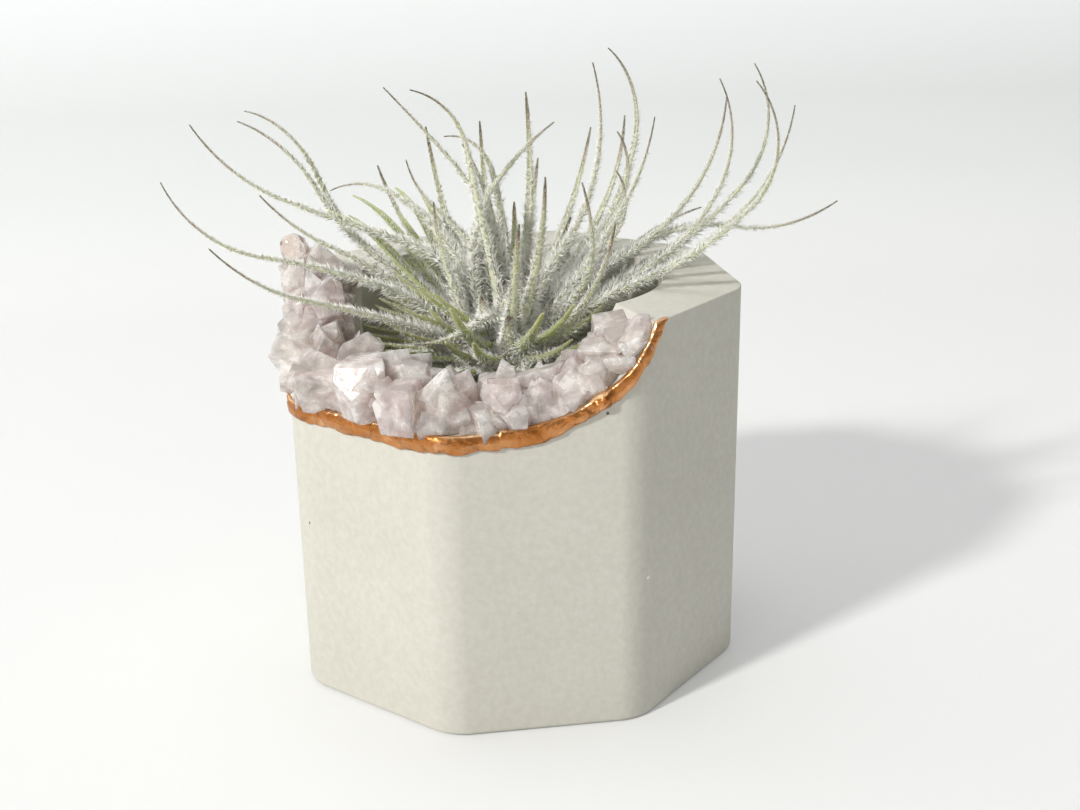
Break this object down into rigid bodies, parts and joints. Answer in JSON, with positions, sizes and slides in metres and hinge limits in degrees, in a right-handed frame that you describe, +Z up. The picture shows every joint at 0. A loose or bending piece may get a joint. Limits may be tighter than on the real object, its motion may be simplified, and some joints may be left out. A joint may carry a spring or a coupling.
{
  "type": "concrete planter",
  "caption": "Eight-sided concrete planter with a broken rim, edged in copper and bedded with pale quartz chips, and a silvery air plant that lifts out of its hollow.",
  "frame": {"origin": "centre of the pot's foot, where it rests", "axes": "+Z up, -Y out of the front flat face, +X to the viewer's right"},
  "size_m": [0.1192, 0.0778, 0.1037],
  "materials": {
    "cast_concrete": "matte",
    "copper_paint": "satin",
    "pale_quartz": "gloss",
    "rose_pebble": "gloss",
    "air_plant": "matte",
    "dry_sheath": "matte"
  },
  "bodies": {
    "pot": {"concrete_pot": "cast_concrete", "copper_edge": "copper_paint", "quartz_pebble": "rose_pebble", "quartz_outer_right": "pale_quartz", "quartz_outer_front": "pale_quartz", "quartz_outer_left": "pale_quartz", "quartz_outer_back": "pale_quartz", "quartz_middle_right": "pale_quartz", "quartz_middle_front": "pale_quartz", "quartz_middle_left": "pale_quartz", "quartz_middle_back": "pale_quartz", "quartz_inner_right": "pale_quartz", "quartz_inner_front": "pale_quartz", "quartz_inner_left": "pale_quartz", "quartz_inner_back": "pale_quartz"},
    "plant": {"plant_stem": "dry_sheath", "leaf_01": "air_plant", "leaf_02": "air_plant", "leaf_03": "air_plant", "leaf_04": "air_plant", "leaf_05": "air_plant", "leaf_06": "air_plant", "leaf_07": "air_plant", "leaf_08": "air_plant", "leaf_09": "air_plant", "leaf_10": "air_plant", "leaf_11": "air_plant", "leaf_12": "air_plant", "leaf_13": "air_plant", "leaf_14": "air_plant", "leaf_15": "air_plant", "leaf_16": "air_plant", "leaf_17": "air_plant", "leaf_18": "air_plant", "leaf_19": "air_plant", "leaf_20": "air_plant", "leaf_21": "air_plant", "leaf_22": "air_plant", "leaf_23": "air_plant", "leaf_24": "air_plant", "leaf_25": "air_plant", "leaf_26": "air_plant", "leaf_27": "air_plant", "leaf_28": "air_plant", "leaf_29": "air_plant", "leaf_30": "air_plant", "leaf_31": "air_plant", "leaf_32": "air_plant", "leaf_33": "air_plant", "leaf_34": "air_plant", "leaf_35": "air_plant", "leaf_36": "air_plant", "leaf_37": "air_plant", "leaf_38": "air_plant", "leaf_39": "air_plant", "leaf_40": "air_plant"}
  },
  "joints": [
    {"name": "plant_lift", "type": "slide", "parent": "pot", "child": "plant", "axis": [0, 0, 1], "range_m": [0, 0.09]}
  ]
}
